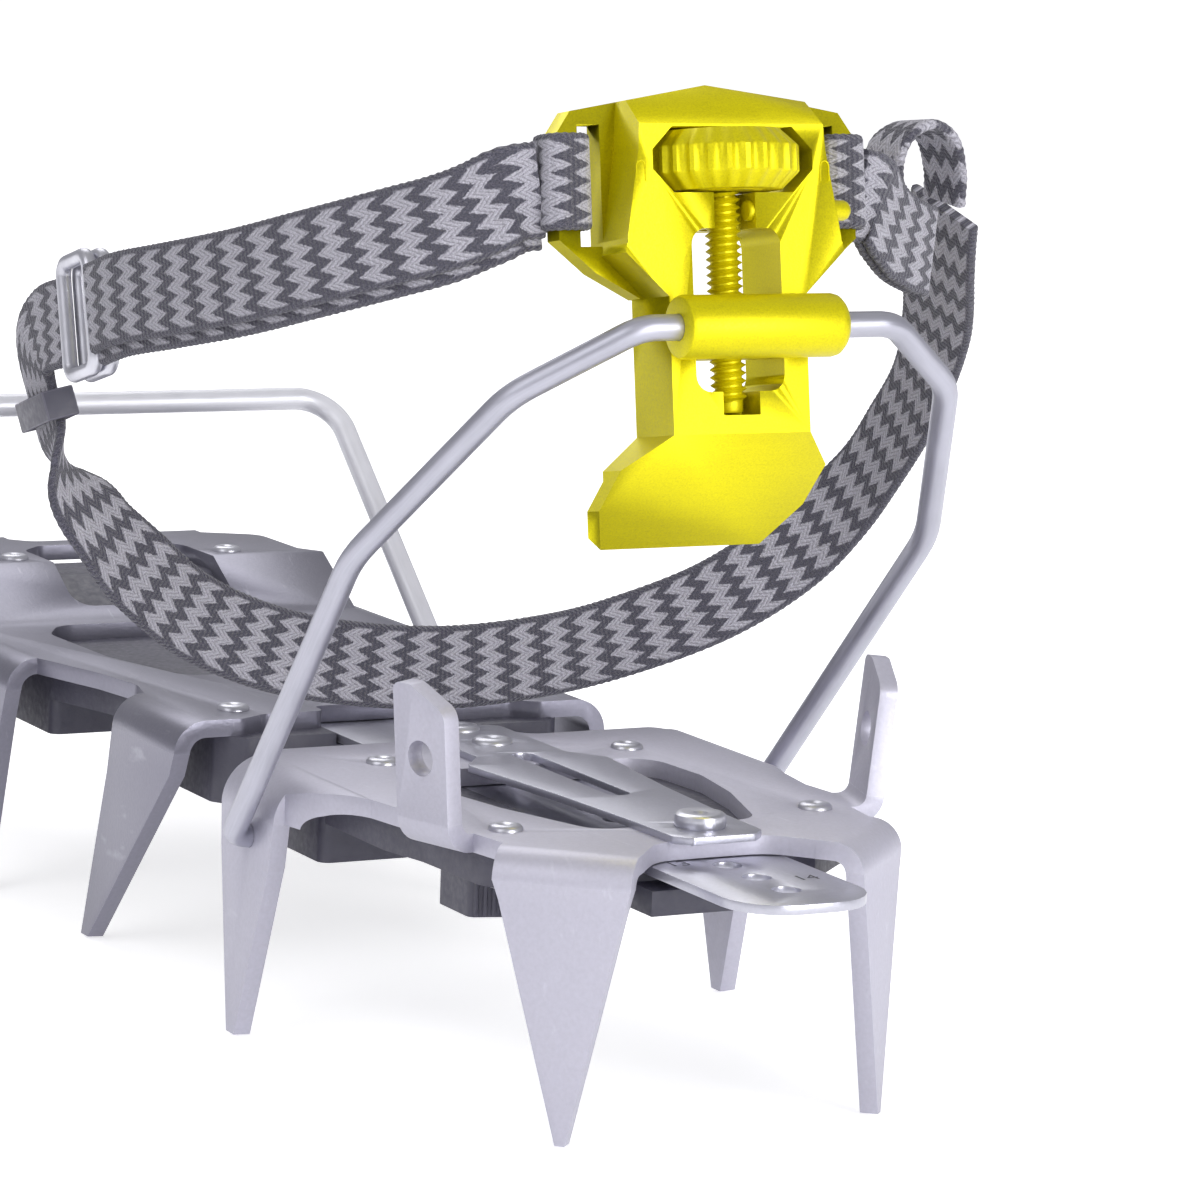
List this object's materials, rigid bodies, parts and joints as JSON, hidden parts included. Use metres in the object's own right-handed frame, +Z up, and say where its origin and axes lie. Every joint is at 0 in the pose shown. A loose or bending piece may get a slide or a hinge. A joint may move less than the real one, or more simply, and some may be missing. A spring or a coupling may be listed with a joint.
{
  "type": "mountaineering crampon",
  "caption": "Semi-rigid crampon of bent sheet steel for one boot, with a wire toe bail, a sliding heel unit on a perforated link bar, a heel bail and a screw-adjusted heel lever.",
  "frame": {"origin": "On the ground under the middle of the length, from the link bar's rear end to the front points.", "axes": "+Y to the toe, +Z up, +X to the right of someone who looks towards the toe."},
  "size_m": [0.1464, 0.32, 0.1611],
  "materials": {
    "heel_frame": "sheet steel, bead-blasted pale grey",
    "snow_plate": "moulded dark grey elastomer",
    "rivet": "bright stainless",
    "spring_steel": "spring steel strip",
    "wire": "bent stainless wire",
    "anodised_yellow": "yellow anodised aluminium",
    "keeper": "moulded dark plastic",
    "front_frame": "sheet steel, bead-blasted pale grey",
    "webbing": "woven webbing, pale zigzag on dark grey"
  },
  "bodies": {
    "front_unit": {"front_frame": "front_frame", "front_snow_plate": "snow_plate", "front_rivets": "rivet", "link_bar": "spring_steel", "bar_bolts": "rivet", "bar_nuts": "rivet"},
    "toe_bail": {"toe_bail": "wire"},
    "heel_unit": {"heel_frame": "heel_frame", "heel_snow_plate": "snow_plate", "heel_rivets_rear": "rivet", "heel_rivets_front": "rivet", "leaf_rivets": "rivet"},
    "lock": {"leaf_spring": "spring_steel", "locking_stud": "rivet"},
    "heel_bail": {"heel_bail": "wire"},
    "nut": {"cross_nut": "anodised_yellow"},
    "lever": {"lever_body": "anodised_yellow", "screw_pin": "anodised_yellow", "strap_bar_left": "webbing", "strap_bar_right": "webbing", "strap_left": "webbing", "strap_right": "webbing", "strap_fold": "webbing", "strap_ankle": "webbing", "strap_buckle": "rivet", "strap_keeper": "keeper"},
    "screw": {"adjuster_screw": "rivet", "thumb_wheel": "anodised_yellow"}
  },
  "joints": [
    {"name": "heel_length", "type": "slide", "parent": "front_unit", "child": "heel_unit", "axis": [0, 1, 0], "range_m": [-0.0273, 0.0273]},
    {"name": "lock_lift", "type": "hinge", "parent": "heel_unit", "child": "lock", "pos_m": [0, -0.055, 0.0456], "axis": [-1, 0, 0], "range_deg": [0, 4.2], "deforming": ["leaf_spring"]},
    {"name": "heel_bail_swing", "type": "hinge", "parent": "heel_unit", "child": "heel_bail", "pos_m": [0, -0.0538, 0.0339], "axis": [1, 0, 0], "range_deg": [0, 34]},
    {"name": "lever_swing", "type": "hinge", "parent": "heel_bail", "child": "nut", "pos_m": [0, -0.13743, 0.12613], "axis": [1, 0, 0], "range_deg": [0, 100]},
    {"name": "lever_slide", "type": "slide", "parent": "nut", "child": "lever", "axis": [0, 0.1564, 0.9877], "range_m": [-0.002, 0.0035]},
    {"name": "wheel_turn", "type": "hinge", "parent": "lever", "child": "screw", "pos_m": [-0.0018, -0.12355, 0.14985], "axis": [0, 0.1564, 0.9877], "range_deg": [-606, 1056]},
    {"name": "toe_bail_swing", "type": "hinge", "parent": "front_unit", "child": "toe_bail", "pos_m": [0, 0.07, 0.035], "axis": [1, 0, 0], "range_deg": [-24, 95]}
  ],
  "couplings": [
    {"joint": "wheel_turn", "follows": "lever_slide", "rad_per_m": 5236}
  ]
}
